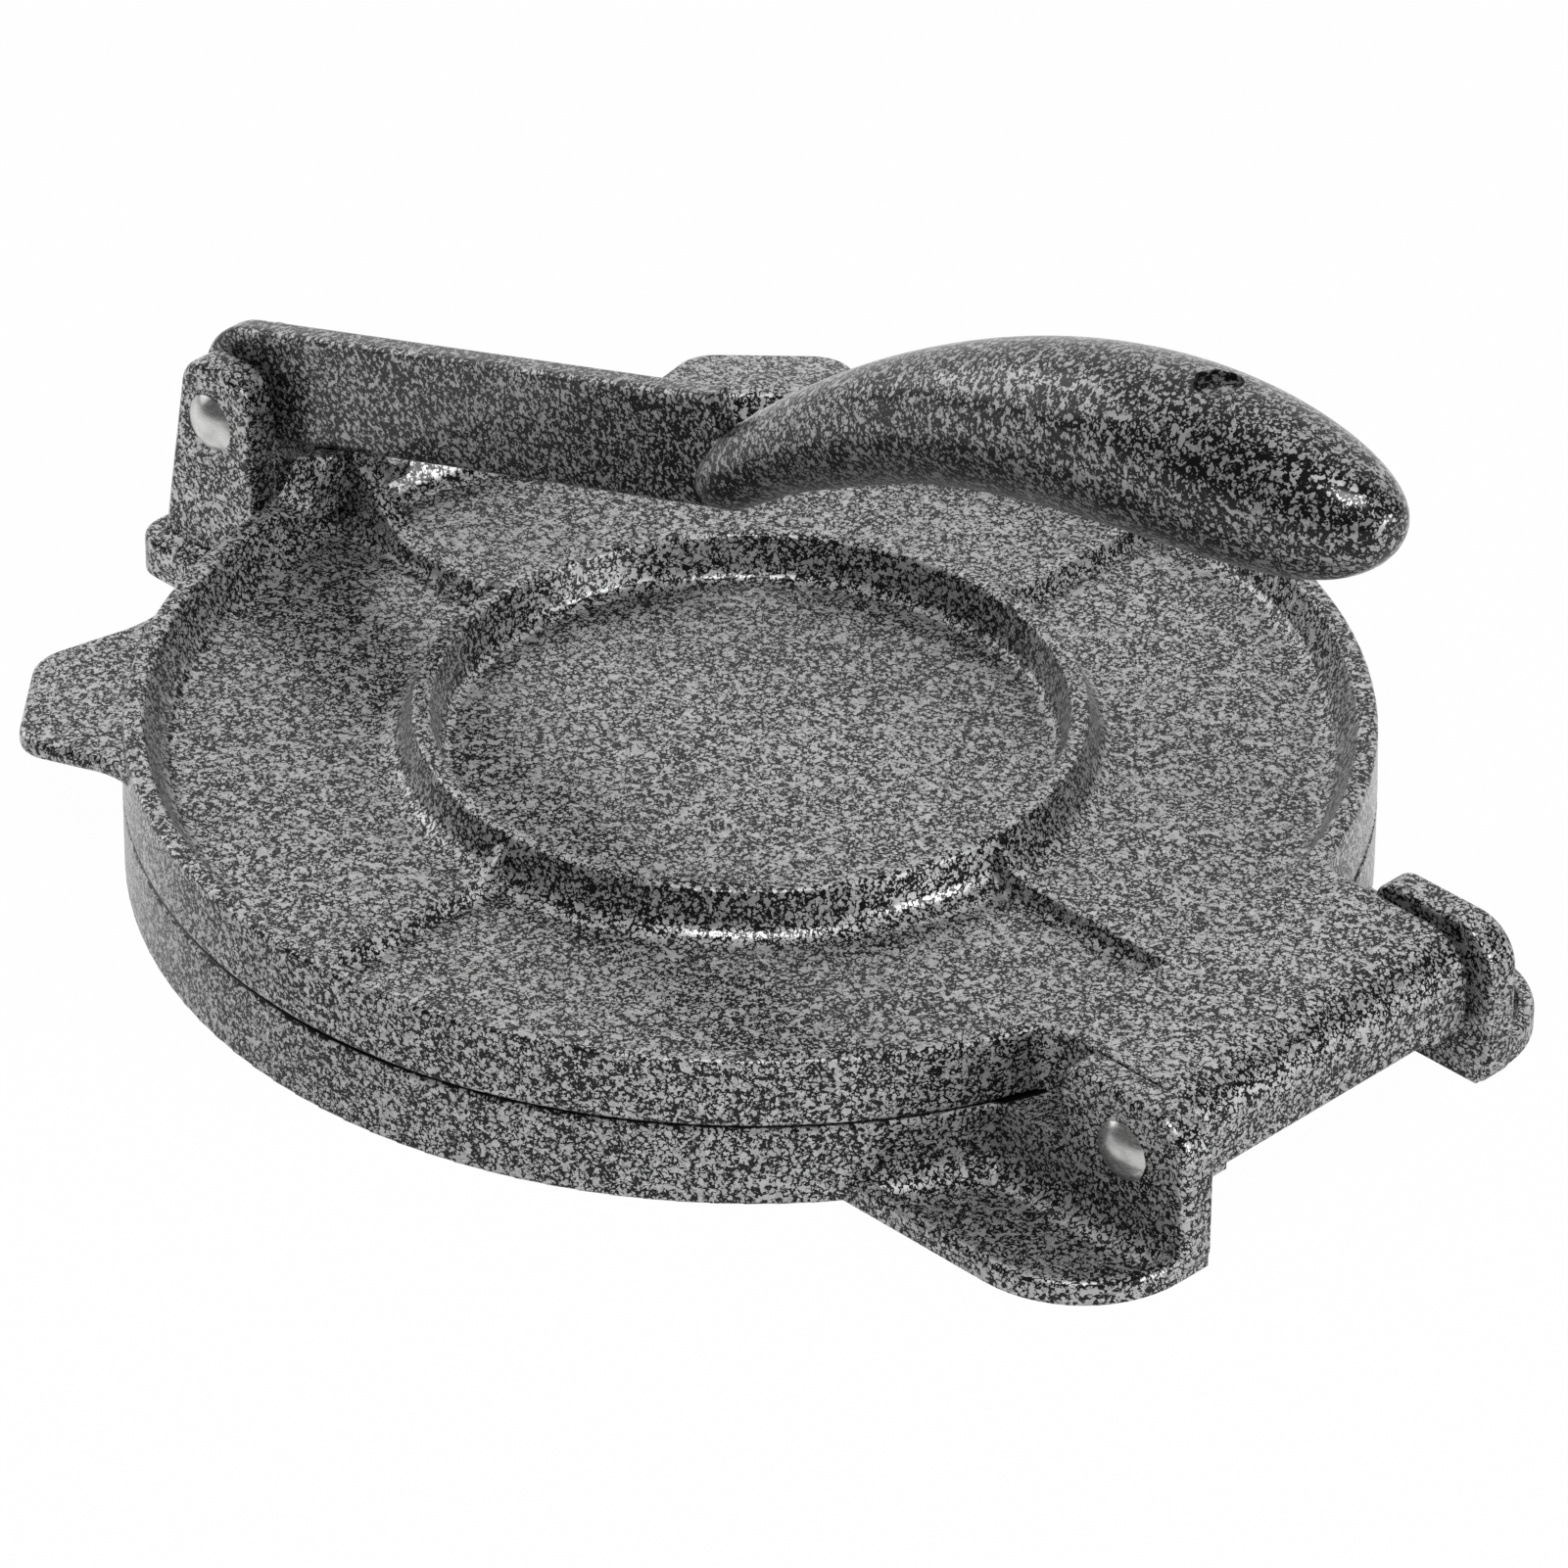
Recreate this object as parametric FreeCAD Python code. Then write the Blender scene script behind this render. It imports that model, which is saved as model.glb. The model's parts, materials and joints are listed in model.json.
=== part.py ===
"""Cast tortilla press: two round plates on a hinge, pressed together by a pivoting lever.

The lower plate stands on the table at z = 0, centred on the origin. The hinge is at +X,
the lever's clevis is at -X, and the lever's long handle reaches back over the plates.
"""
import FreeCAD, Part
import math
import os

from FreeCAD import Vector

# Plates
plate_radius = 127.5
lower_plate_height = 18.2
upper_plate_height = 15.3
plate_edge_round = 1.2
upper_draft = 0.4

# Underside of the lower plate
base_foot_round = 0.6
base_wall = 5.0
base_wall_draft = 1.5
base_web_thickness = 5.0
base_ring_top_width = 3.6
base_ring_lift = 1.5
base_rib_lift = 3.0
base_root_round = 4.0

# Top of the upper plate
upper_floor_thickness = 6.5
rim_land = 4.1
rim_wall_run = 4.6
rim_root_round = 4.0
rim_top_round = 0.9
ring_inner_radius = 65.0
ring_land = 3.6
ring_rise = 9.6
ring_inner_run = 2.2
ring_outer_run = 3.0
ring_inner_root_round = 3.0
ring_outer_root_round = 5.0
ring_top_round = 1.0
spoke_count = 4
spoke_top_width = 3.6
spoke_base_width = 5.6
spoke_rise = 3.6
spoke_root_round = 1.6
spoke_top_round = 1.0
spoke_gusset_run = 9.0
spoke_gusset_rise = 7.6
spoke_gusset_round = 7.0

# Press pad on the rim, under the lever
pad_half_length = 17.0
pad_top_half_length = 6.0
pad_depth = 9.0
pad_round = 5.0
pad_gusset_reach = 24.0
pad_gusset_width = 4.6
pad_gusset_offset = 1.4
pad_gusset_round = 9.0
lever_rest_gap = 0.3

# Lift tabs
tab_reach = 20.4
tab_tip_half_width = 15.6
tab_root_half_angle = 12.0
tab_blend_half_angle = 22.0
tab_root_standoff = 1.5
tab_root_round = 22.0
tab_tip_round = 9.0
tab_thickness = 4.2
tab_tip_drop = 2.6
tab_root_drop = 2.4
tab_edge_round = 1.4
left_tab_angle = 221.1
right_tab_angle = 133.8

# Hinge
hinge_standoff = 22.7
hinge_lift = 4.6
tongue_half_width = 39.2
tongue_end_reach = 9.6
tongue_end_round = 10.0
tongue_lip_thickness = 4.0
tongue_lip_height = 19.2
tongue_skin = 4.0
tongue_root_round = 9.0
tongue_root_standoff = 0.6
tongue_blend_half_angle = 24.0
tongue_pocket_start = 12.0
knuckle_radius = 13.2
knuckle_width = 9.5
ear_gap = 2.2
ear_thickness = 8.0
ear_front_reach = 17.2
near_ear_back_reach = 17.0
far_ear_back_reach = 14.4
ear_lift = 17.2
ear_front_round = 5.0
ear_back_round = 10.0
ear_foot_round = 4.5
ear_edge_round = 2.0
ear_inner_edge_round = 0.8
block_gap = 2.2

# Foot trays beside the hinge
near_tray_reach = 26.6
far_tray_reach = 24.5
near_tray_back_reach = 16.2
far_tray_back_reach = 11.4
tray_overlap = 37.0
tray_lip_height = 5.0
tray_lip_width = 3.2
tray_floor_height = 2.4
tray_wall_round = 6.0
tray_bowl_round = 2.2
tray_lip_round = 1.4

# Lever clevis
clevis_standoff = 20.4
clevis_lift = 23.9
clevis_gap = 2.2
clevis_ear_thickness = 7.0
clevis_front_reach = 12.3
clevis_top_back_reach = 8.2
clevis_base_back_reach = 18.4
clevis_top_lift = 37.5
clevis_front_round = 8.0
clevis_back_round = 8.0
clevis_edge_round = 1.8
clevis_foot_reach = 20.8
clevis_foot_half_width = 17.0
clevis_foot_height = 9.0
clevis_foot_round = 7.0
clevis_foot_edge_round = 2.0
clevis_root_round = 3.0

# Lever
lever_slope = 17.2
lever_thickness = 6.5
lever_depth = 25.3
lever_below_pin = 7.05
lever_heel_reach = 11.8
lever_heel_lower_round = 6.8
lever_heel_upper_round = 17.4
lever_arm_length = 150.6
lever_edge_round = 1.6
grip_spine_radius = 231.0
grip_spine_start_angle = 135.0
grip_spine_end_angle = 85.0
grip_centre_reach = 154.0
grip_centre_drop = 170.7
grip_radius = 18.4
grip_width_share = 0.94
grip_station_shares = [
    (0.0, 0.10, 0), (0.02, 0.28, -0.03), (0.07, 0.42, -0.035), (0.17, 0.525, -0.035),
    (0.34, 0.69, -0.035), (0.52, 0.87, -0.02), (0.68, 0.985, -0.01), (0.81, 0.965, 0),
    (0.90, 0.83, 0.02), (0.96, 0.60, 0.08), (0.99, 0.35, 0.14), (1.0, 0.10, 0.175),
]
dimple_diameter = 10.0
dimple_depth = 2.6
dimple_angle = 95.9

# Pins
pin_radius = 4.0
pin_head_radius = 6.3
pin_head_height = 2.4
pin_tail_radius = 5.0
pin_tail_height = 1.8
pin_seat_clearance = 0.02
pin_running_clearance = 0.08
tail_gap = 0.3

# One overrun serves every cut
overrun = 20.0

# Heights and places that follow from the sizes above
parting_z = lower_plate_height
rim_top = lower_plate_height + upper_plate_height
upper_floor = lower_plate_height + upper_floor_thickness
ring_top = upper_floor + ring_rise
ring_outer_radius = ring_inner_radius + ring_land
ear_inner = tongue_half_width + ear_gap
ear_outer = ear_inner + ear_thickness
hinge_x = plate_radius + hinge_standoff
hinge_z = lower_plate_height + hinge_lift
ear_top = lower_plate_height + ear_lift
tray_start_x = plate_radius - tray_overlap
clevis_x = plate_radius + clevis_standoff
clevis_z = lower_plate_height + clevis_lift
clevis_top = lower_plate_height + clevis_top_lift
clevis_inner = lever_thickness / 2 + clevis_gap
clevis_outer = clevis_inner + clevis_ear_thickness
slope_run = math.cos(math.radians(lever_slope))
slope_rise = math.sin(math.radians(lever_slope))
grip_centre_x = -clevis_x + lever_arm_length * slope_run + grip_centre_reach
grip_centre_z = clevis_z + lever_arm_length * slope_rise - grip_centre_drop

UP = Vector(0, 0, 1)
ORIGIN = Vector(0, 0, 0)
ACROSS = Vector(0, 1, 0)


def in_plan(u, v):
    """A point of a plan outline."""
    return Vector(u, v, 0)


def in_side(u, v):
    """A point of a side outline, in the XZ plane."""
    return Vector(u, 0, v)


def in_front(u, v):
    """A point of a front outline, in the YZ plane."""
    return Vector(0, u, v)


def rounded_face(corners, place):
    """A flat face through (u, v, radius) corners, each corner rounded by its own radius."""
    points = [place(u, v) for u, v, _ in corners]
    count = len(points)
    arcs = []
    for index, (_, _, radius) in enumerate(corners):
        here = points[index]
        back = (points[index - 1] - here).normalize()
        ahead = (points[(index + 1) % count] - here).normalize()
        if radius == 0:
            arcs.append((here, None, here))
            continue
        half_angle = back.getAngle(ahead) / 2
        tangent = radius / math.tan(half_angle)
        middle_reach = radius / math.sin(half_angle) - radius
        inward = (back + ahead).normalize()
        arcs.append((here + back * tangent, here + inward * middle_reach, here + ahead * tangent))
    edges = []
    for index, (start, middle, end) in enumerate(arcs):
        if middle is not None:
            edges.append(Part.Arc(start, middle, end).toShape())
        next_start = arcs[(index + 1) % count][0]
        if end.distanceToPoint(next_start) > Part.Vertex(end).Tolerance:
            edges.append(Part.LineSegment(end, next_start).toShape())
    return Part.Face(Part.Wire(Part.sortEdges(edges)[0]))


def revolved(corners):
    """A body of revolution about the plate axis, from a half-section of rounded corners."""
    return rounded_face(corners, in_side).revolve(ORIGIN, UP, 360)


def plan_block(corners, low, high):
    """A plan outline raised from one height to another."""
    face = rounded_face(corners, in_plan)
    face.translate(UP * low)
    return face.extrude(UP * (high - low))


def side_block(corners, from_y, to_y):
    """A side outline carried across from one y to another."""
    face = rounded_face(corners, in_side)
    face.translate(ACROSS * from_y)
    return face.extrude(ACROSS * (to_y - from_y))


def box_between(low, high):
    """A plain block between two opposite corners."""
    return Part.makeBox(high[0] - low[0], high[1] - low[1], high[2] - low[2], Vector(*low))


def mirrored(shape):
    """The same shape on the other side of the press's centre plane."""
    return shape.mirror(ORIGIN, ACROSS)


def turned(shape, angle):
    """A copy turned about the plate axis."""
    copy = shape.copy()
    copy.rotate(ORIGIN, UP, angle)
    return copy


def fused(shapes):
    """One clean solid from overlapping shapes."""
    whole = shapes[0].fuse(shapes[1:])
    return whole.removeSplitter()


def rounded_edges(shape, radius, wanted):
    """Rounds the edges of a shape that the test wants."""
    return shape.makeFillet(radius, [edge for edge in shape.Edges if wanted(edge)])


def edge_at(edge, axis, value):
    """True where the whole edge lies at one value of x, y or z."""
    box = edge.BoundBox
    low = (box.XMin, box.YMin, box.ZMin)[axis]
    high = (box.XMax, box.YMax, box.ZMax)[axis]
    return math.isclose(low, value, abs_tol=plate_edge_round / 100) and \
        math.isclose(high, value, abs_tol=plate_edge_round / 100)


def cross_bore(x, z, radius, from_y, to_y):
    """A round bar across the press, for bores and pins."""
    return Part.makeCylinder(radius, to_y - from_y, Vector(x, from_y, z), ACROSS)


def spoke(floor_z, rise, gusset_rise, inner, outer, gusset_run):
    """A radial rib along +X, with a gusset against the ring at its inner end."""
    sunk = floor_z - spoke_rise / 2
    top = floor_z + rise
    along = side_block([
        (inner, sunk, 0), (inner, floor_z + gusset_rise, 0),
        (inner + gusset_run / 3, floor_z + gusset_rise, spoke_top_round),
        (inner + gusset_run, top, spoke_gusset_round),
        (outer, top, 0), (outer, sunk, 0)], -spoke_base_width * 2, spoke_base_width * 2)
    flare = spoke_base_width / 2 + spoke_root_round
    taper = (spoke_base_width - spoke_top_width) / 2
    crest = spoke_top_width / 2 - taper * (gusset_rise - rise) / rise
    section = rounded_face([
        (-flare * 1.5, sunk, 0), (-flare * 1.5, floor_z, 0),
        (-spoke_base_width / 2, floor_z, spoke_root_round), (-crest, floor_z + gusset_rise, 0),
        (crest, floor_z + gusset_rise, 0), (spoke_base_width / 2, floor_z, spoke_root_round),
        (flare * 1.5, floor_z, 0), (flare * 1.5, sunk, 0)], in_front)
    section.translate(Vector(inner, 0, 0))
    across = section.extrude(Vector(outer - inner, 0, 0))
    return along.common(across)


def lower_disc():
    """The round plate, flat on top, with a wall, a ring and ribs on its hollow underside."""
    ceiling = lower_plate_height - base_web_thickness
    ring_outer = ring_outer_radius + base_ring_top_width - ring_land
    disc = revolved([
        (0, lower_plate_height, 0), (plate_radius, lower_plate_height, plate_edge_round),
        (plate_radius, 0, base_foot_round), (plate_radius - base_wall, 0, base_foot_round),
        (plate_radius - base_wall - base_wall_draft, ceiling, base_root_round),
        (ring_outer + ring_outer_run, ceiling, base_root_round),
        (ring_outer, base_ring_lift, ring_top_round),
        (ring_inner_radius, base_ring_lift, ring_top_round),
        (ring_inner_radius - ring_inner_run, ceiling, ring_inner_root_round),
        (0, ceiling, 0)])
    rib = Part.makeBox(
        plate_radius - base_wall / 2 - ring_inner_radius, spoke_base_width,
        ceiling - base_rib_lift + base_web_thickness / 2,
        Vector(ring_inner_radius + ring_land / 2, -spoke_base_width / 2, base_rib_lift))
    return [disc] + [turned(rib, 360 / spoke_count * k) for k in range(spoke_count)]


def hinge_ear(back_reach):
    """One upright ear of the hinge, on the near side."""
    front = hinge_x - ear_front_reach
    back = hinge_x + back_reach
    ear = side_block([
        (front, 0, 0), (front, ear_top, ear_front_round), (back, ear_top, ear_back_round),
        (back, 0, ear_foot_round)], -ear_outer, -ear_inner)
    rim_height = tray_lip_height + tray_wall_round
    ear = rounded_edges(ear, ear_edge_round, lambda edge: (
        edge_at(edge, 1, -ear_outer) and edge.BoundBox.ZMax > rim_height))
    return rounded_edges(ear, ear_inner_edge_round, lambda edge: (
        edge_at(edge, 1, -ear_inner) and edge.BoundBox.ZMax > rim_height))


def tray_coves(tray_outer, tray_end_x):
    """The round coves that lead the tray's floor up the plate's wall and up the ear."""
    wall_top = tray_floor_height + tray_wall_round
    at_plate = revolved([
        (plate_radius - base_wall, 0, 0), (plate_radius - base_wall, wall_top, 0),
        (plate_radius, wall_top, 0), (plate_radius, tray_floor_height, tray_wall_round),
        (plate_radius + tray_wall_round * 2, tray_floor_height, 0),
        (plate_radius + tray_wall_round * 2, 0, 0)])
    at_ear = rounded_face([
        (-ear_inner, 0, 0), (-ear_inner, wall_top, 0), (-ear_outer, wall_top, 0),
        (-ear_outer, tray_floor_height, tray_wall_round),
        (-ear_outer - tray_wall_round * 2, tray_floor_height, 0),
        (-ear_outer - tray_wall_round * 2, 0, 0)], in_front)
    at_ear.translate(Vector(tray_start_x, 0, 0))
    at_ear = at_ear.extrude(Vector(tray_end_x - tray_start_x, 0, 0))
    beside_ear = box_between((tray_start_x, -tray_outer, 0), (tray_end_x, -ear_inner, wall_top))
    return at_ear.fuse(at_plate.common(beside_ear))


def foot_tray(tray_reach, back_reach):
    """The shallow tray that widens the foot beside the near ear."""
    tray_outer = ear_outer + tray_reach
    tray_end_x = hinge_x + back_reach
    plan = [(tray_start_x, -ear_inner, 0), (tray_start_x, -tray_outer, 0),
            (tray_end_x, -tray_outer, tray_reach), (tray_end_x, -ear_inner, 0)]
    inset = [(tray_start_x, -ear_inner, 0), (tray_start_x, -tray_outer + tray_lip_width, 0),
             (tray_end_x - tray_lip_width, -tray_outer + tray_lip_width,
              tray_reach - tray_lip_width),
             (tray_end_x - tray_lip_width, -ear_inner, 0)]
    bowl = plan_block(inset, tray_floor_height, tray_lip_height + overrun)
    bowl = rounded_edges(bowl, tray_bowl_round, lambda edge: (
        edge_at(edge, 2, tray_floor_height)))
    tray = plan_block(plan, 0, tray_lip_height).cut(bowl)
    tray = rounded_edges(tray, tray_lip_round, lambda edge: (
        edge_at(edge, 2, tray_lip_height) and
        (edge_at(edge, 1, -tray_outer) or edge.BoundBox.XMax > tray_end_x - tray_lip_width / 2)
        and not edge_at(edge, 1, -ear_inner)))
    coves = tray_coves(tray_outer, tray_end_x).common(
        plan_block(inset, 0, tray_floor_height + tray_wall_round))
    return tray.fuse(coves)


def clevis():
    """The foot and the two ears that hold the lever's pin."""
    foot_end = -clevis_x - clevis_foot_reach
    inside = -plate_radius + base_wall / 2
    foot = plan_block([
        (inside, clevis_foot_half_width, 0), (foot_end, clevis_foot_half_width, clevis_foot_round),
        (foot_end, -clevis_foot_half_width, clevis_foot_round),
        (inside, -clevis_foot_half_width, 0)], 0, clevis_foot_height)
    foot = rounded_edges(foot, clevis_foot_edge_round, lambda edge: (
        edge_at(edge, 2, clevis_foot_height) and not edge_at(edge, 0, inside)))
    front = -clevis_x + clevis_front_reach
    top_back = -clevis_x - clevis_top_back_reach
    base_back = -clevis_x - clevis_base_back_reach + clevis_foot_edge_round
    ear = side_block([
        (front, clevis_foot_height / 2, 0), (front, clevis_top, clevis_front_round),
        (top_back, clevis_top, clevis_back_round),
        (base_back, clevis_foot_height / 2, 0)], -clevis_outer - clevis_root_round, -clevis_inner)
    section = rounded_face([
        (-clevis_outer - clevis_root_round, clevis_foot_height / 2, 0),
        (-clevis_outer - clevis_root_round, clevis_foot_height, 0),
        (-clevis_outer, clevis_foot_height, clevis_root_round), (-clevis_outer, clevis_top, 0),
        (-clevis_inner, clevis_top, 0), (-clevis_inner, clevis_foot_height / 2, 0)], in_front)
    section.translate(Vector(foot_end, 0, 0))
    ear = ear.common(section.extrude(Vector(front - foot_end, 0, 0)))
    ear = rounded_edges(ear, clevis_edge_round, lambda edge: edge_at(edge, 1, -clevis_outer))
    return fused([foot, ear, mirrored(ear)])


def lower_plate():
    """The lower casting, which stands on the table and carries both sets of ears."""
    block_end = hinge_x - knuckle_radius - block_gap
    block = box_between((plate_radius - ear_outer / 2, -ear_outer, 0),
                        (block_end, ear_outer, lower_plate_height))
    hollow = Part.makeCylinder(plate_radius - base_wall / 2, lower_plate_height)
    block = block.cut(hollow)
    ears = [hinge_ear(near_ear_back_reach), mirrored(hinge_ear(far_ear_back_reach))]
    trays = [foot_tray(near_tray_reach, near_tray_back_reach),
             mirrored(foot_tray(far_tray_reach, far_tray_back_reach))]
    body = fused(lower_disc() + [block, clevis()] + ears
                 + [tray.cut(hollow) for tray in trays])
    hinge_bore = cross_bore(hinge_x, hinge_z, pin_radius + pin_seat_clearance,
                            -ear_outer - overrun, ear_outer + overrun)
    lever_bore = cross_bore(-clevis_x, clevis_z, pin_radius + pin_seat_clearance,
                            -clevis_outer - overrun, clevis_outer + overrun)
    return body.cut([hinge_bore, lever_bore])


def lever_underside(x):
    """The height of the arm's lower face at a place along the press, at rest."""
    below = lever_below_pin / slope_run
    return clevis_z - below + (x + clevis_x) * slope_rise / slope_run


def upper_disc():
    """The round upper plate, with its rim and its raised ring."""
    top_radius = plate_radius - upper_draft
    return revolved([
        (0, parting_z, 0), (plate_radius, parting_z, plate_edge_round),
        (top_radius, rim_top, rim_top_round),
        (top_radius - rim_land, rim_top, rim_top_round),
        (top_radius - rim_land - rim_wall_run, upper_floor, rim_root_round),
        (ring_outer_radius + ring_outer_run, upper_floor, ring_outer_root_round),
        (ring_outer_radius, ring_top, ring_top_round),
        (ring_inner_radius, ring_top, ring_top_round),
        (ring_inner_radius - ring_inner_run, upper_floor, ring_inner_root_round),
        (0, upper_floor, 0)])


def press_pad():
    """The hump on the rim that the lever bears on, with its gusset down to the spoke."""
    outer = -plate_radius + upper_draft
    inner = outer + pad_depth
    crest = lever_underside(inner)
    sunk = rim_top - upper_floor_thickness / 2
    hump = rounded_face([
        (-pad_half_length, sunk, 0), (-pad_half_length, rim_top, 0),
        (-pad_half_length + pad_round, rim_top, pad_round),
        (-pad_top_half_length, crest, pad_round), (pad_top_half_length, crest, pad_round),
        (pad_half_length - pad_round, rim_top, pad_round), (pad_half_length, rim_top, 0),
        (pad_half_length, sunk, 0)], in_front)
    hump.translate(Vector(outer, 0, 0))
    hump = hump.extrude(Vector(pad_depth, 0, 0))
    spoke_top = upper_floor + spoke_rise
    gusset = side_block([
        (outer + rim_land, upper_floor - spoke_rise / 2, 0), (outer + rim_land, crest, 0),
        (inner, crest, 0), (outer + pad_gusset_reach, spoke_top, pad_gusset_round),
        (outer + pad_gusset_reach + pad_gusset_round, spoke_top, 0),
        (outer + pad_gusset_reach + pad_gusset_round, upper_floor - spoke_rise / 2, 0)],
        pad_gusset_offset - pad_gusset_width / 2, pad_gusset_offset + pad_gusset_width / 2)
    wall = Part.makeCylinder(plate_radius - upper_draft, crest + overrun)
    slope = side_block([
        (outer - overrun, lever_underside(outer - overrun) - lever_rest_gap, 0),
        (inner + overrun, lever_underside(inner + overrun) - lever_rest_gap, 0),
        (inner + overrun, crest + overrun, 0), (outer - overrun, crest + overrun, 0)],
        -pad_half_length - overrun, pad_half_length + overrun)
    return fused([hump, gusset]).common(wall).cut(slope)


def on_circle(radius, angle):
    """Plan coordinates of a point at a radius and an angle about the plate axis."""
    turn = math.radians(angle)
    return radius * math.cos(turn), radius * math.sin(turn)


def lift_tab(angle):
    """A tapered finger tab on the plate's edge, sloping down to its tip."""
    root = plate_radius - rim_land
    tip = plate_radius + tab_reach
    half = [on_circle(root, tab_blend_half_angle) + (0,),
            on_circle(plate_radius + tab_root_standoff, tab_root_half_angle) + (tab_root_round,),
            (tip, tab_tip_half_width, tab_tip_round)]
    other_half = [(u, -v, radius) for u, v, radius in reversed(half)]
    inside = Part.makeCylinder(plate_radius - rim_land - upper_draft, rim_top + overrun)
    plan = plan_block(half + other_half, parting_z, rim_top).cut(inside)
    width = tip * math.sin(math.radians(tab_blend_half_angle))
    inner_top = rim_top - tab_root_drop + overrun * tab_tip_drop / tab_reach
    outer_top = rim_top - tab_root_drop - tab_tip_drop - overrun * tab_tip_drop / tab_reach
    slab = side_block([
        (plate_radius - overrun, inner_top, 0), (tip + overrun, outer_top, 0),
        (tip + overrun, outer_top - tab_thickness, 0),
        (plate_radius - overrun, inner_top - tab_thickness, 0)], -width, width)
    tab = plan.common(slab)
    tab = rounded_edges(tab, tab_edge_round, lambda edge: (
        edge.BoundBox.XMax > plate_radius + tab_root_standoff and
        edge.BoundBox.ZLength < tab_thickness))
    return turned(tab, angle)


def tongue():
    """The hinge tongue, with its rolled end, its lip and a knuckle at each side."""
    start = ring_outer_radius + ring_outer_run
    end = hinge_x + tongue_end_reach
    lip_bottom = rim_top - tongue_lip_height
    skin = side_block([
        (start, parting_z, 0), (start, rim_top, 0), (end, rim_top, tongue_end_round),
        (end, lip_bottom, tongue_lip_thickness / 3), (end - tongue_lip_thickness, lip_bottom, 0),
        (end - tongue_lip_thickness, rim_top - tongue_skin, tongue_lip_thickness / 2),
        (plate_radius + tongue_pocket_start, rim_top - tongue_skin, tongue_lip_thickness / 2),
        (plate_radius + tongue_pocket_start, parting_z, 0)],
        -ear_inner - overrun, ear_inner + overrun)
    half = [on_circle(plate_radius - rim_land, tongue_blend_half_angle) + (0,),
            (math.sqrt(plate_radius ** 2 - tongue_half_width ** 2) + tongue_root_standoff,
             tongue_half_width, tongue_root_round),
            (end + overrun, tongue_half_width, 0)]
    other_half = [(u, -v, radius) for u, v, radius in reversed(half)]
    skin = skin.common(plan_block(half + other_half, lip_bottom, rim_top))
    open_plate = Part.makeCylinder(plate_radius - rim_land - upper_draft, rim_top + overrun)
    knuckle = cross_bore(hinge_x, hinge_z, knuckle_radius, -tongue_half_width,
                         -tongue_half_width + knuckle_width)
    cheek = side_block([
        (plate_radius, parting_z, 0), (plate_radius, rim_top, 0),
        (end, rim_top, tongue_end_round), (end, lip_bottom, tongue_lip_thickness / 3),
        (hinge_x, lip_bottom, 0), (hinge_x, parting_z, 0)],
        -tongue_half_width, -tongue_half_width + knuckle_width)
    within_roll = side_block([
        (plate_radius, 0, 0), (plate_radius, rim_top, 0), (end, rim_top, tongue_end_round),
        (end, 0, 0)], -tongue_half_width, tongue_half_width)
    knuckle = knuckle.common(within_roll)
    return [skin.cut(open_plate), knuckle, cheek, mirrored(knuckle), mirrored(cheek)]


def upper_plate():
    """The upper casting: plate, rim, ring, spokes, pad, tabs and hinge tongue."""
    top_radius = plate_radius - upper_draft
    rib = spoke(upper_floor, spoke_rise, spoke_gusset_rise,
                ring_outer_radius - ring_top_round, top_radius - rim_land, spoke_gusset_run)
    ribs = [turned(rib, 360 / spoke_count * k) for k in range(spoke_count)]
    body = fused([upper_disc(), press_pad(), lift_tab(left_tab_angle), lift_tab(right_tab_angle)]
                 + ribs + tongue())
    bore = cross_bore(hinge_x, hinge_z, pin_radius + pin_running_clearance,
                      -tongue_half_width - overrun, tongue_half_width + overrun)
    return body.cut(bore)


def arm_point(along, above):
    """A point of the sloping arm, measured along it from the pin and square to it."""
    return (-clevis_x + along * slope_run - above * slope_rise,
            clevis_z + along * slope_rise + above * slope_run)


def arm_bar():
    """The flat arm, with its rounded heel about the pin."""
    top = lever_depth - lever_below_pin
    corners = [(-lever_heel_reach, -lever_below_pin, lever_heel_lower_round),
               (lever_arm_length, -lever_below_pin, 0), (lever_arm_length, top, 0),
               (-lever_heel_reach, top, lever_heel_upper_round)]
    outline = [arm_point(along, above) + (radius,) for along, above, radius in corners]
    bar = side_block(outline, -lever_thickness / 2, lever_thickness / 2)
    return rounded_edges(bar, lever_edge_round, lambda edge: (
        edge_at(edge, 1, lever_thickness / 2) or edge_at(edge, 1, -lever_thickness / 2)))


def spine_point(angle):
    """A point of the grip's spine, an arc over a centre below the press."""
    turn = math.radians(angle)
    return Vector(grip_centre_x + grip_spine_radius * math.cos(turn), 0,
                  grip_centre_z + grip_spine_radius * math.sin(turn))


def grip():
    """The swelling round grip, lofted through oval sections along its arched spine."""
    rings = []
    for along_share, radius_share, lift_share in grip_station_shares:
        angle = grip_spine_start_angle + (grip_spine_end_angle - grip_spine_start_angle) * along_share
        turn = math.radians(angle)
        outward = Vector(math.cos(turn), 0, math.sin(turn))
        centre = spine_point(angle) + outward * grip_radius * lift_share
        height = grip_radius * radius_share
        oval = Part.Ellipse(centre + outward * height, centre + ACROSS * height * grip_width_share,
                            centre)
        rings.append(Part.Wire([oval.toShape()]))
    return Part.makeLoft(rings, True, False)


def lever():
    """The lever casting: flat arm, heel about the pin, and swelling grip."""
    body = fused([arm_bar(), grip()])
    turn = math.radians(dimple_angle)
    outward = Vector(math.cos(turn), 0, math.sin(turn))
    crown = spine_point(dimple_angle) + outward * (grip_radius - dimple_depth)
    dimple = Part.makeCylinder(dimple_diameter / 2, dimple_depth + overrun, crown, outward)
    bore = cross_bore(-clevis_x, clevis_z, pin_radius + pin_running_clearance,
                      -lever_thickness / 2 - overrun, lever_thickness / 2 + overrun)
    return body.cut([dimple, bore])


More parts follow.
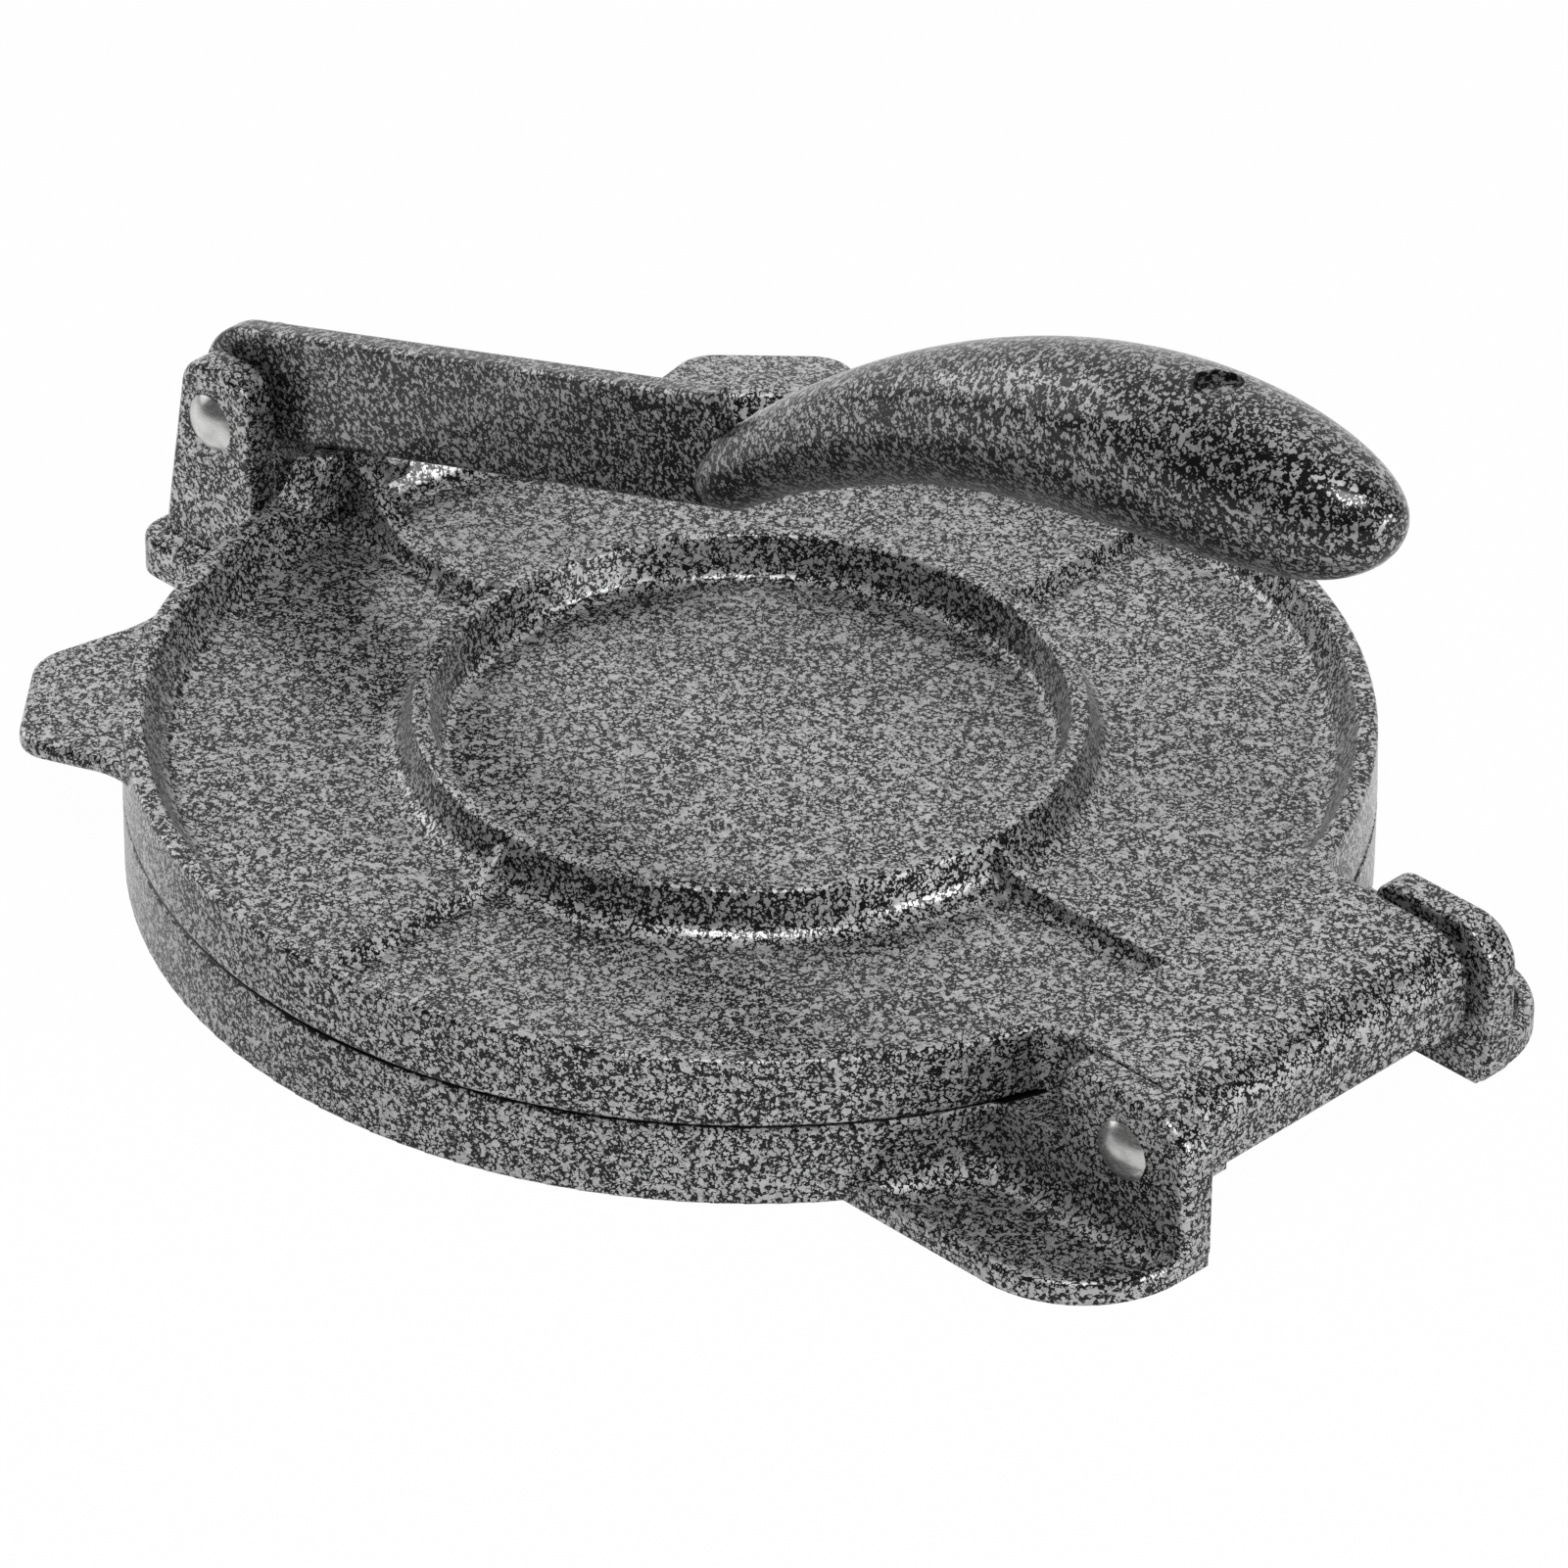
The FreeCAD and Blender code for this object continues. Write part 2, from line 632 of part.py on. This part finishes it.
def domed_pin(x, z, head_y, tail_y):
    """A rivet pin across the press: domed head at one end, a smaller formed head at the other."""
    way = 1 if tail_y > head_y else -1
    length = abs(tail_y - head_y)
    cap_radius = (pin_head_radius ** 2 + pin_head_height ** 2) / (2 * pin_head_height)
    tail_cap_radius = (pin_tail_radius ** 2 + pin_tail_height ** 2) / (2 * pin_tail_height)
    shank = Part.makeCylinder(pin_radius, length, Vector(x, head_y, z), ACROSS * way)
    head = Part.makeSphere(cap_radius, Vector(x, head_y + way * (cap_radius - pin_head_height), z))
    tail = Part.makeSphere(tail_cap_radius,
                           Vector(x, tail_y - way * (tail_cap_radius - pin_tail_height), z))
    beyond_head = Part.makeCylinder(cap_radius, cap_radius, Vector(x, head_y, z), ACROSS * -way)
    beyond_tail = Part.makeCylinder(tail_cap_radius, tail_cap_radius, Vector(x, tail_y, z),
                                    ACROSS * way)
    return fused([shank, head.common(beyond_head), tail.common(beyond_tail)])


def main():
    """Builds every piece and writes it to its own file."""
    knuckle_face = tongue_half_width - knuckle_width - tail_gap
    near_pin = domed_pin(hinge_x, hinge_z, -ear_outer, -knuckle_face)
    pieces = {
        "lower_plate": lower_plate(),
        "upper_plate": upper_plate(),
        "lever": lever(),
        "hinge_pin_near": near_pin,
        "hinge_pin_far": mirrored(near_pin),
        "lever_pin": domed_pin(-clevis_x, clevis_z, -clevis_outer, clevis_outer),
    }
    footprint = Part.makeCompound(list(pieces.values())).optimalBoundingBox(False)
    print("plate axis to the middle of the footprint", footprint.Center.x)
    os.makedirs("parts", exist_ok=True)
    for name, shape in pieces.items():
        shape.translate(Vector(-footprint.Center.x, 0, 0))
        shape.exportStep("parts/" + name + ".step")
        box = shape.BoundBox
        print(name, "solids", len(shape.Solids), "valid", shape.isValid(),
              "size", round(box.XLength, 1), round(box.YLength, 1), round(box.ZLength, 1),
              "volume", round(shape.Volume))


main()
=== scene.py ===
# %% [markdown]
# A tortilla press in hammertone paint
#
# The press is three iron castings on three steel pins. Its shape is already built as solids, so
# this lesson is about finish: a paint whose light flakes part into dark veins, polished pin heads,
# soft studio light and the photograph's camera. We load the castings first and list their names.

# %% Load the castings
import json
import math
import bpy
from mathutils import Matrix, Vector

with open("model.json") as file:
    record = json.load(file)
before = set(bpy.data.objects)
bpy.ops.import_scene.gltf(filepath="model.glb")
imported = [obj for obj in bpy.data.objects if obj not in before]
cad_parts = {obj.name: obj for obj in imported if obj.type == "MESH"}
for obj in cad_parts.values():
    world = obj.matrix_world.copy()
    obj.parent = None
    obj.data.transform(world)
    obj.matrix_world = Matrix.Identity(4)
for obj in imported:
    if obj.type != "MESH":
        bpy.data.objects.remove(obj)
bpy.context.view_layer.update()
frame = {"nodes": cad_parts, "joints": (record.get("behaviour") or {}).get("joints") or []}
print("pieces:", sorted(frame["nodes"]))

# %% [markdown]
# Millimetres and joint places
#
# Blender works in metres and paint detail is easier to think of in millimetres, so one small
# constant turns one into the other. The hinge's place tells us where the plates' axis lies.

# %% Units and places
MM = 0.001
joint_places = {joint["name"]: Vector(joint["pos_m"]) for joint in frame["joints"]}
hinge_from_axis = 150.2 * MM
plate_axis_x = joint_places["plate_hinge"].x - hinge_from_axis
print("plate axis x in mm:", round(plate_axis_x / MM, 2))

# %% [markdown]
# Helpers for node trees
#
# Every material below is a small tree of nodes. The first helper fills an input, either with a
# number or with another node's output, and the second adds a node with its inputs filled by name.
# The rest are short names for sums, vector sums, colour mixes and smooth changes of range. With
# them a tree reads from top to bottom.

# %% Node helpers
def fill(tree, socket, value):
    if isinstance(value, bpy.types.NodeSocket):
        tree.links.new(value, socket)
    else:
        socket.default_value = value


def add_node(tree, kind, values=None, **settings):
    node = tree.nodes.new(kind)
    for name, value in settings.items():
        setattr(node, name, value)
    for name, value in (values or {}).items():
        fill(tree, node.inputs[name], value)
    return node


def do_math(tree, operation, *values):
    node = add_node(tree, "ShaderNodeMath", operation=operation)
    for socket, value in zip(node.inputs, values):
        fill(tree, socket, value)
    return node.outputs[0]


def do_vector(tree, operation, first, second):
    node = add_node(tree, "ShaderNodeVectorMath", operation=operation)
    fill(tree, node.inputs[0], first)
    fill(tree, node.inputs["Scale"] if operation == "SCALE" else node.inputs[1], second)
    return node.outputs["Value" if operation == "DOT_PRODUCT" else "Vector"]


def object_place(tree):
    return add_node(tree, "ShaderNodeTexCoord").outputs["Object"]


def mix_colours(tree, share, low, high):
    node = add_node(tree, "ShaderNodeMix", data_type="RGBA")
    for index, value in ((0, share), (6, low), (7, high)):
        fill(tree, node.inputs[index], value)
    return node.outputs[2]


def remap(tree, value, low, high, new_low, new_high):
    node = add_node(tree, "ShaderNodeMapRange", {
        "Value": value, "From Min": low, "From Max": high,
        "To Min": new_low, "To Max": new_high}, interpolation_type="SMOOTHSTEP")
    return node.outputs[0]


def new_group(name, inputs, outputs):
    tree = bpy.data.node_groups.new(name, "ShaderNodeTree")
    for title, value in inputs:
        kind = "NodeSocketColor" if isinstance(value, tuple) else "NodeSocketFloat"
        socket = tree.interface.new_socket(title, in_out="INPUT", socket_type=kind)
        socket.default_value = value
    for title, kind in outputs:
        tree.interface.new_socket(title, in_out="OUTPUT", socket_type=kind)
    return tree, tree.nodes.new("NodeGroupInput"), tree.nodes.new("NodeGroupOutput")


print("helpers ready")

# %% [markdown]
# Hammertone paint: a crackle that flows
#
# Hammertone is an enamel full of aluminium flakes. As it dries the flakes draw together in
# islands and the dark enamel shows between them as veins. A Voronoi texture gives such cells, and
# its distance to the nearest edge gives the veins. Bending the coordinates with noise first makes
# the veins wander, and a second noise opens and closes them, so that no two islands are alike.

# %% Vein layer
def build_vein_layer():
    tree, given, result = new_group("vein_layer", [
        ("Cell mm", 2.0), ("Width", 0.1), ("Bend mm", 0.6)],
        [("Veins", "NodeSocketFloat"), ("Tone", "NodeSocketFloat")])
    place = object_place(tree)
    cell_scale = do_math(tree, "DIVIDE", 1 / MM, given.outputs["Cell mm"])

    wander_per_cell, noise_reach = 1.3, 4 * MM
    wander = add_node(tree, "ShaderNodeTexNoise", {
        "Vector": place, "Scale": do_math(tree, "MULTIPLY", cell_scale, wander_per_cell),
        "Detail": 2.0})
    centred = do_vector(tree, "SUBTRACT", wander.outputs["Color"], (0.5, 0.5, 0.5))
    bend = do_vector(tree, "SCALE", centred,
                     do_math(tree, "MULTIPLY", given.outputs["Bend mm"], noise_reach))
    bent = {"Vector": do_vector(tree, "ADD", place, bend), "Scale": cell_scale}
    cells = add_node(tree, "ShaderNodeTexVoronoi", bent, feature="DISTANCE_TO_EDGE")
    shades = add_node(tree, "ShaderNodeTexVoronoi", bent, feature="F1")

    openings_per_cell, closed_below, open_above = 0.9, 0.38, 0.48
    opening = add_node(tree, "ShaderNodeTexNoise", {
        "Vector": place, "Scale": do_math(tree, "MULTIPLY", cell_scale, openings_per_cell),
        "Detail": 1.0})
    openness = remap(tree, opening.outputs["Fac"], closed_below, open_above, 0.0, 1.0)

    crisp_share = 0.9
    width = do_math(tree, "MULTIPLY", given.outputs["Width"], openness)
    inner = do_math(tree, "MULTIPLY", width, crisp_share)
    edge = remap(tree, cells.outputs["Distance"], inner, width, 1.0, 0.0)
    tone = add_node(tree, "ShaderNodeSeparateColor", {"Color": shades.outputs["Color"]})
    tree.links.new(edge, result.inputs["Veins"])
    tree.links.new(tone.outputs[0], result.inputs["Tone"])
    return tree


vein_layer = build_vein_layer()
print("vein layer nodes:", len(vein_layer.nodes))

# %% [markdown]
# Two sizes of crackle make one paint
#
# Close up, the photograph shows dark veins round islands of about a millimetre and a half, and
# finer breaks inside some of them. The paint group lays a fine vein layer over a coarse one, lets
# a slow noise widen the veins a little in places, and gives out colour, roughness, metal and a
# height for bump.

# %% Hammertone group
def place_layer(tree, cell, width, bend):
    return add_node(tree, "ShaderNodeGroup", {
        "Cell mm": cell, "Width": width, "Bend mm": bend}, node_tree=vein_layer)


def build_hammertone():
    tree, given, result = new_group("hammertone", [
        ("Flake colour", (0.6, 0.6, 0.6, 1.0)), ("Vein colour", (0.004, 0.004, 0.004, 1.0)),
        ("Island mm", 1.4), ("Vein width", 0.16), ("Patchiness", 0.1)],
        [("Color", "NodeSocketColor"), ("Roughness", "NodeSocketFloat"),
         ("Metallic", "NodeSocketFloat"), ("Height", "NodeSocketFloat")])
    patch_reach = 14 * MM
    slow = add_node(tree, "ShaderNodeTexNoise", {
        "Vector": object_place(tree), "Scale": 1 / patch_reach, "Detail": 2.0})
    swing = remap(tree, slow.outputs["Fac"], 0.35, 0.65, -1.0, 1.0)
    patch = do_math(tree, "MULTIPLY_ADD", swing, given.outputs["Patchiness"], 1.0)
    width = do_math(tree, "MULTIPLY", given.outputs["Vein width"], patch)

    fine_size, fine_width = 0.72, 0.85
    coarse = place_layer(tree, given.outputs["Island mm"], width, bend=0.6)
    fine = place_layer(tree, do_math(tree, "MULTIPLY", given.outputs["Island mm"], fine_size),
                       do_math(tree, "MULTIPLY", width, fine_width), bend=0.3)
    whole_below, broken_above = 0.68, 0.72
    sparse = remap(tree, fine.outputs["Tone"], whole_below, broken_above, 0.0, 1.0)
    some_fine = do_math(tree, "MULTIPLY", fine.outputs["Veins"], sparse)
    veins = do_math(tree, "MAXIMUM", coarse.outputs["Veins"], some_fine)

    island_tones, fleck_tones = (0.85, 1.08), (0.92, 1.06)
    tone = remap(tree, coarse.outputs["Tone"], 0.0, 1.0, *island_tones)
    fine_tone = remap(tree, fine.outputs["Tone"], 0.0, 1.0, *fleck_tones)
    flake = do_vector(tree, "SCALE", given.outputs["Flake colour"],
                      do_math(tree, "MULTIPLY", tone, fine_tone))
    colour = mix_colours(tree, veins, flake, given.outputs["Vein colour"])
    tree.links.new(colour, result.inputs["Color"])
    flake_roughness, vein_roughness, flake_metal, vein_metal = 0.4, 0.3, 0.7, 0.0
    tree.links.new(remap(tree, veins, 0.0, 1.0, flake_roughness, vein_roughness),
                   result.inputs["Roughness"])
    tree.links.new(remap(tree, veins, 0.0, 1.0, flake_metal, vein_metal),
                   result.inputs["Metallic"])
    tree.links.new(do_math(tree, "SUBTRACT", 1.0, veins), result.inputs["Height"])
    return tree


hammertone = build_hammertone()
print("hammertone nodes:", len(hammertone.nodes))

# %% [markdown]
# Shade in the seam and the corners
#
# The plates touch over their whole faces, but each casting's lip is a little round, and the
# groove between them lies in shade. A band at the seam's height, kept to the plates' outer wall by
# its distance from their axis, paints that shade as a dark line. Deep corners are found by an
# Ambient Occlusion node in the material, which sees how much of the sky a point has over it, and
# their colour is darkened there as painted shade. It looks at its own casting only, so that the
# faces that meet when the press is shut stay bright when it opens.

# %% Seam group
def build_seam():
    tree, given, result = new_group("seam_shade", [
        ("Seam radius mm", 127.5), ("Seam height mm", 18.2), ("Half width mm", 0.6)],
        [("Shade", "NodeSocketFloat")])
    place = add_node(tree, "ShaderNodeSeparateXYZ", {"Vector": object_place(tree)})
    from_axis = do_math(tree, "SUBTRACT", place.outputs["X"], plate_axis_x)
    square = do_math(tree, "MULTIPLY", from_axis, from_axis)
    reach = do_math(tree, "SQRT", do_math(tree, "MULTIPLY_ADD", place.outputs["Y"],
                                          place.outputs["Y"], square))
    seam_reach = do_math(tree, "MULTIPLY", given.outputs["Seam radius mm"], MM)
    off_wall = do_math(tree, "ABSOLUTE", do_math(tree, "SUBTRACT", reach, seam_reach))
    seam_height = do_math(tree, "MULTIPLY", given.outputs["Seam height mm"], MM)
    off_seam = do_math(tree, "ABSOLUTE", do_math(tree, "SUBTRACT", place.outputs["Z"],
                                                 seam_height))
    half = do_math(tree, "MULTIPLY", given.outputs["Half width mm"], MM)
    # This band is the mask of the painted shade along the seam between the plates.
    wall_band, wall_fade, dark_share = 0.9 * MM, 1.3 * MM, 0.5
    by_wall = remap(tree, off_wall, wall_band, wall_fade, 1.0, 0.0)
    groove = remap(tree, off_seam, do_math(tree, "MULTIPLY", half, dark_share), half, 1.0, 0.0)
    tree.links.new(do_math(tree, "MULTIPLY", by_wall, groove), result.inputs["Shade"])
    return tree


seam_shade = build_seam()
print("seam nodes:", len(seam_shade.nodes))

# %% [markdown]
# The casting's paint
#
# The paint group feeds a Principled shader. Flakes are part metal, veins are plain enamel, and a
# thin clear coat lies over both. A Bevel node rounds the look of the casting's edges a little
# more, as thick paint does, and the veins sit slightly below the islands. The lever's paint has
# wider veins and darker flakes than the plates', as the photograph shows.

# %% Paint material
def make_paint(name, flake, island, vein_width, patchiness):
    material = bpy.data.materials.new(name)
    material.use_nodes = True
    tree = material.node_tree
    shader = tree.nodes["Principled BSDF"]
    paint = add_node(tree, "ShaderNodeGroup", {
        "Flake colour": (flake, flake, flake, 1.0), "Island mm": island,
        "Vein width": vein_width, "Patchiness": patchiness}, node_tree=hammertone)
    edge_round, vein_depth, corner_reach = 0.9 * MM, 0.12 * MM, 11 * MM
    rounded = add_node(tree, "ShaderNodeBevel", {"Radius": edge_round}, samples=4)
    relief = add_node(tree, "ShaderNodeBump", {
        "Strength": 0.35, "Distance": vein_depth, "Height": paint.outputs["Height"],
        "Normal": rounded.outputs[0]})
    # Painted shade: the seam band and the deep corners found by Ambient Occlusion turn the base
    # colour towards near black and take away the metal.
    seam = add_node(tree, "ShaderNodeGroup", node_tree=seam_shade)
    sky = add_node(tree, "ShaderNodeAmbientOcclusion", {"Distance": corner_reach}, samples=4,
                   only_local=True)
    buried_sky, open_sky, buried_share = 0.12, 0.58, 0.03
    open_share = remap(tree, sky.outputs["AO"], buried_sky, open_sky, buried_share, 1.0)
    lit_share = do_math(tree, "MULTIPLY", open_share,
                        do_math(tree, "SUBTRACT", 1.0, seam.outputs["Shade"]))
    painted_shade_black = (0.002, 0.002, 0.002, 1.0)
    shaded = mix_colours(tree, lit_share, painted_shade_black, paint.outputs["Color"])
    tree.links.new(shaded, shader.inputs["Base Color"])
    tree.links.new(paint.outputs["Roughness"], shader.inputs["Roughness"])
    tree.links.new(do_math(tree, "MULTIPLY", paint.outputs["Metallic"], lit_share),
                   shader.inputs["Metallic"])
    tree.links.new(relief.outputs[0], shader.inputs["Normal"])
    shader.inputs["Specular IOR Level"].default_value = 0.1
    shader.inputs["Coat Weight"].default_value = 0.42
    shader.inputs["Coat Roughness"].default_value = 0.12
    return material


plate_paint = make_paint("hammertone_paint", flake=0.56, island=1.35, vein_width=0.158,
                         patchiness=0.1)
lever_paint = make_paint("hammertone_paint_lever", flake=0.43, island=1.35, vein_width=0.215,
                         patchiness=0.15)
print("paints:", plate_paint.name, lever_paint.name)

# %% [markdown]
# Polished pins
#
# The pin heads are formed cold and polished, so they mirror the studio with a little softness. A
# stretched noise in the roughness stands for the fine marks that polishing leaves.

# %% Pin material
def make_polished_steel():
    material = bpy.data.materials.new("polished_pin")
    material.use_nodes = True
    tree = material.node_tree
    shader = tree.nodes["Principled BSDF"]
    place = object_place(tree)
    mark_reach, cloud_reach = 0.8 * MM, 3 * MM
    squeeze = add_node(tree, "ShaderNodeMapping", {"Vector": place, "Scale": (1.0, 0.2, 4.0)})
    marks = add_node(tree, "ShaderNodeTexNoise", {
        "Vector": squeeze.outputs[0], "Scale": 1 / mark_reach, "Detail": 4.0})
    clouds = add_node(tree, "ShaderNodeTexNoise", {
        "Vector": place, "Scale": 1 / cloud_reach, "Detail": 3.0})
    bright_steel, dull_steel = (0.66, 0.66, 0.65, 1.0), (0.5, 0.5, 0.5, 1.0)
    dullness = remap(tree, clouds.outputs["Fac"], 0.35, 0.7, 0.0, 1.0)
    colour = mix_colours(tree, dullness, bright_steel, dull_steel)
    tree.links.new(colour, shader.inputs["Base Color"])
    shader.inputs["Metallic"].default_value = 1.0
    tree.links.new(remap(tree, marks.outputs["Fac"], 0.3, 0.7, 0.22, 0.36),
                   shader.inputs["Roughness"])
    bump = add_node(tree, "ShaderNodeBump", {"Strength": 0.15, "Distance": 0.03 * MM,
                                             "Height": marks.outputs["Fac"]})
    tree.links.new(bump.outputs[0], shader.inputs["Normal"])
    return material


pin_steel = make_polished_steel()
print("pin material:", pin_steel.name)

# %% [markdown]
# Give each casting its finish
#
# The solids keep their meshes; only their material slots change hands.

# %% Assign finishes
finishes = {"lower_plate": plate_paint, "upper_plate": plate_paint, "lever": lever_paint,
            "hinge_pin_near": pin_steel, "hinge_pin_far": pin_steel, "lever_pin": pin_steel}
for name, material in finishes.items():
    node = frame["nodes"][name]
    for slot in node.material_slots:
        slot.material = material
    print(name, "wears", material.name, "triangles", len(node.data.polygons))

# %% [markdown]
# A white table that the camera and the mirrors see as white
#
# Product photographs stand on white paper in a dark room. The floor and the world show plain
# white to the camera. Reflections see the same white paper, but only behind the object: the paper
# in front lies in its shade and the room overhead is dark. This is what gives the gloss its
# contrast. Two directions say where behind is: one lies along the floor, the other also rises.
# For all other rays the floor is an ordinary pale surface that keeps the contact shadow, and a
# small share of that surface stays in what the camera sees.

# %% Floor and world
BACKWARD = (-0.70, 0.71, 0.0)
BACKDROP = (-0.63, 0.64, 0.44)


def white_share(tree, mirror_share):
    path = add_node(tree, "ShaderNodeLightPath")
    mirrored = do_math(tree, "ADD", path.outputs["Is Glossy Ray"],
                       path.outputs["Is Transmission Ray"])
    return do_math(tree, "MULTIPLY_ADD", mirrored, mirror_share, path.outputs["Is Camera Ray"])


def along(tree, output, direction):
    place = add_node(tree, "ShaderNodeTexCoord").outputs[output]
    return do_vector(tree, "DOT_PRODUCT", place, direction)


def make_floor():
    reach = 6.0
    corners = [(-reach, -reach, 0), (reach, -reach, 0), (reach, reach, 0), (-reach, reach, 0)]
    mesh = bpy.data.meshes.new("floor")
    mesh.from_pydata(corners, [], [(0, 1, 2, 3)])
    floor = bpy.data.objects.new("floor", mesh)
    bpy.context.scene.collection.objects.link(floor)
    material = bpy.data.materials.new("white_paper")
    material.use_nodes = True
    tree = material.node_tree
    shader = tree.nodes["Principled BSDF"]
    shader.inputs["Base Color"].default_value = (0.9, 0.9, 0.9, 1.0)
    shader.inputs["Roughness"].default_value = 0.9
    white = add_node(tree, "ShaderNodeEmission", {"Color": (1, 1, 1, 1), "Strength": 1.0})
    shade_ends, full_white, front_share, paper_share = -80 * MM, 60 * MM, 0.38, 0.985
    behind = remap(tree, along(tree, "Object", BACKWARD), shade_ends, full_white,
                   front_share, 1.0)
    seen = do_math(tree, "MULTIPLY", white_share(tree, behind), paper_share)
    mix = add_node(tree, "ShaderNodeMixShader", {"Fac": seen})
    tree.links.new(shader.outputs[0], mix.inputs[1])
    tree.links.new(white.outputs[0], mix.inputs[2])
    tree.links.new(mix.outputs[0], tree.nodes["Material Output"].inputs["Surface"])
    floor.data.materials.append(material)
    return floor


def make_world():
    world = bpy.data.worlds.new("studio")
    bpy.context.scene.world = world
    world.use_nodes = True
    tree = world.node_tree
    background = tree.nodes["Background"]
    background.inputs["Color"].default_value = (1, 1, 1, 1)
    paper_edge, paper_middle, dark_share, room_strength = 0.35, 0.85, 0.05, 0.1
    paper = remap(tree, along(tree, "Generated", BACKDROP), paper_edge, paper_middle,
                  dark_share, 1.0)
    tree.links.new(remap(tree, white_share(tree, paper), 0.0, 1.0, room_strength, 1.0),
                   background.inputs["Strength"])
    return world


make_floor()
make_world()
print("floor and world ready")

# %% [markdown]
# Softboxes
#
# Glossy paint is lit by what it mirrors. A large box on the left shapes the walls, one overhead
# draws the bright lines along the fillets, and one low on the right pales the ring's inner wall
# and the tongue's end.

# %% Lamps
def add_softbox(name, azimuth, elevation, distance, width, height, watts):
    turn, rise = math.radians(azimuth), math.radians(elevation)
    toward = Vector((math.cos(turn) * math.cos(rise), math.sin(turn) * math.cos(rise),
                     math.sin(rise)))
    lamp = bpy.data.lights.new(name, "AREA")
    lamp.shape = "RECTANGLE"
    lamp.size, lamp.size_y, lamp.energy = width, height, watts
    holder = bpy.data.objects.new(name, lamp)
    holder.location = toward * distance
    holder.rotation_mode = "QUATERNION"
    holder.rotation_quaternion = toward.to_track_quat("Z", "Y")
    bpy.context.scene.collection.objects.link(holder)
    print(name, "stands at", [round(value, 2) for value in holder.location])


add_softbox("left_box", azimuth=-160, elevation=24, distance=1.7,
            width=1.1, height=0.9, watts=5)
add_softbox("top_box", azimuth=-44, elevation=60, distance=1.6,
            width=0.7, height=0.4, watts=12)
add_softbox("right_box", azimuth=12, elevation=16, distance=1.8,
            width=0.9, height=0.5, watts=12.5)

# %% [markdown]
# The photograph's camera
#
# The camera was found by fitting the rim, the ring and the hinge ears to the photograph. It is a
# long lens, 2.2 metres away and 33 degrees above the table, which keeps the circles nearly oval.

# %% Camera
camera_from_axis = Vector((1.29070, -1.29901, 1.20789))
view_right = Vector((0.70906, 0.70512, 0.00643))
view_up = Vector((-0.38876, 0.38329, 0.83782))
camera = bpy.data.cameras.new("photo_camera")
camera.sensor_width = 36.0
camera.lens = 246.47
camera_holder = bpy.data.objects.new("photo_camera", camera)
turn = Matrix((view_right, view_up, view_right.cross(view_up))).transposed()
camera_holder.matrix_world = Matrix.LocRotScale(
    camera_from_axis + Vector((plate_axis_x, 0, 0)), turn.to_quaternion(), None)
bpy.context.scene.collection.objects.link(camera_holder)
bpy.context.scene.camera = camera_holder
bpy.context.scene.view_settings.view_transform = "Standard"
print("camera distance in mm:", round(camera_from_axis.length / MM))
